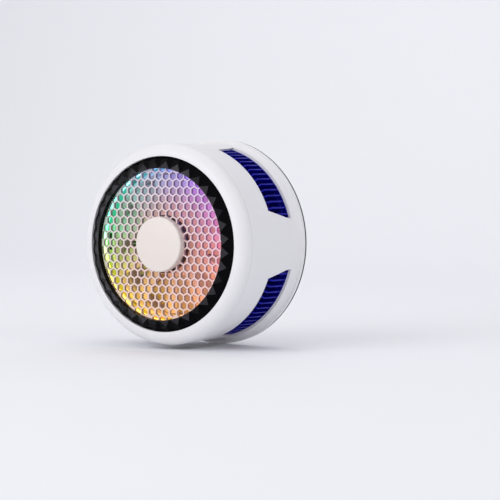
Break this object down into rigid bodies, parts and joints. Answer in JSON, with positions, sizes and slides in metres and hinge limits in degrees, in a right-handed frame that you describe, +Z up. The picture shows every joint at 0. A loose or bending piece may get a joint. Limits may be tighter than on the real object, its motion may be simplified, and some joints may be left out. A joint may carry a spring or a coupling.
{
  "type": "phone cooling fan",
  "caption": "Round magnetic phone cooling fan with a hexagon grille, lit impeller, blue radial heatsink behind side windows, and a cold plate.",
  "frame": {"origin": "middle of the face that touches the phone, on the fan's axis", "axes": "+Y out of the cold plate towards the phone, so the grille faces -Y; +Z up with the power inlet at the bottom; +X right seen from the grille"},
  "size_m": [0.0628, 0.033, 0.0628],
  "materials": {
    "white_shell": "satin moulded",
    "black_gloss": "polished",
    "grille_white": "satin moulded",
    "cap_white": "satin moulded",
    "blue_fins": "anodised blue",
    "blade_plastic": "milky, lets the light in",
    "diffuser": "frosted",
    "soft_pad": "matt",
    "dark_plastic": "matt",
    "board": "solder mask",
    "lamp": "clear",
    "screw_steel": "zinc plated",
    "bearing_brass": "turned",
    "slide_plastic": "matt",
    "core_steel": "pressed",
    "copper_wire": "enamelled",
    "shaft_steel": "ground",
    "bonded_magnet": "matt",
    "socket_steel": "nickel plated",
    "ceramic": "fired",
    "foam": "closed cell",
    "plate_aluminium": "fine brushed",
    "plated_magnet": "nickel plated"
  },
  "bodies": {
    "case": {"front_bezel": "white_shell", "facet_ring": "black_gloss", "hex_grille": "grille_white", "hub_cap": "cap_white", "housing": "white_shell", "heatsink": "blue_fins", "light_guide": "diffuser", "contact_pad": "soft_pad", "cap_collar": "dark_plastic", "led_board": "board", "leds": "lamp", "led_screws": "screw_steel", "fan_frame": "dark_plastic", "bearing_tube": "bearing_brass", "sleeve_bearing": "bearing_brass", "thrust_pad": "slide_plastic", "stator_core": "core_steel", "stator_coils": "copper_wire", "driver_board": "board", "main_board": "board", "usb_c_socket": "socket_steel", "button_switch": "dark_plastic", "fan_screws": "screw_steel", "peltier_module": "ceramic", "insulation_ring": "foam", "cold_plate": "plate_aluminium", "magnets": "plated_magnet", "backing_ring": "core_steel", "rear_cover": "white_shell", "rear_screws": "screw_steel"},
    "rotor": {"impeller": "blade_plastic", "rotor_yoke": "core_steel", "rotor_magnet": "bonded_magnet", "rotor_shaft": "shaft_steel", "retaining_ring": "slide_plastic"},
    "button": {"mode_button": "white_shell", "switch_stem": "slide_plastic"}
  },
  "joints": [
    {"name": "rotor_spin", "type": "hinge", "parent": "case", "child": "rotor", "pos_m": [0, -0.022, 0], "axis": [0, -1, 0], "continuous": true},
    {"name": "button_press", "type": "slide", "parent": "case", "child": "button", "axis": [1, 0, 0], "range_m": [0, 0.0004], "stiffness_N_per_m": 1500, "springref_m": -0.0002}
  ]
}
